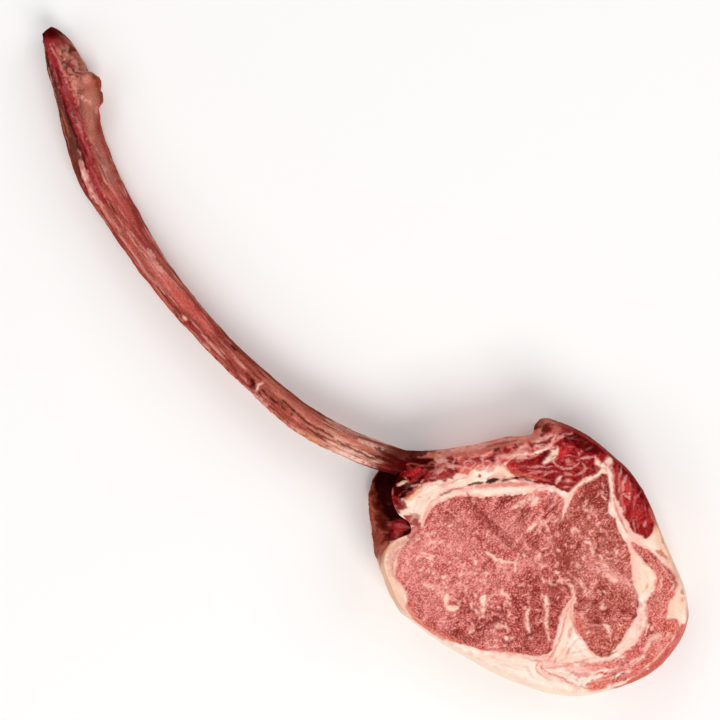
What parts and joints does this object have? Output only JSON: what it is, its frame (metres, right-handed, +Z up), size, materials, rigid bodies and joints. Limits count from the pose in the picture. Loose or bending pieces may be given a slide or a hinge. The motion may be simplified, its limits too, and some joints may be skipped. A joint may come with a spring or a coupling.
{
  "type": "raw tomahawk steak",
  "caption": "Thick raw beef rib steak lying on a cut face, with marbled muscles, seams and a cap of fat, and its whole long curved rib left on as a handle.",
  "frame": {"origin": "under the middle of the bounding box, on the surface that the steak lies on", "axes": "+X along the whole length from the tip of the rib to the far side of the meat, +Y to the chine side across the cut face, +Z up out of the cut face"},
  "size_m": [0.4725, 0.1393, 0.0476],
  "materials": {
    "lean_meat": "moist cut lean beef, satin with small wet glints, fine pale flecks of fat along the grain",
    "dark_meat": "wet dark crimson meat with pale streaks, glossy",
    "marbled_cap": "moist rosy meat laced with fat, satin",
    "fat": "cream suet and membrane, soft satin, slightly see-through",
    "rib": "scraped rib under a dried pink-brown membrane, satin with wet streaks"
  },
  "bodies": {
    "root": {"eye_muscle": "lean_meat", "side_muscle": "lean_meat", "cap_muscle": "marbled_cap", "upper_cap_muscle": "dark_meat", "chine_muscle": "dark_meat", "costal_meat": "marbled_cap", "fat_body": "fat", "rib_bone": "rib"}
  },
  "joints": []
}
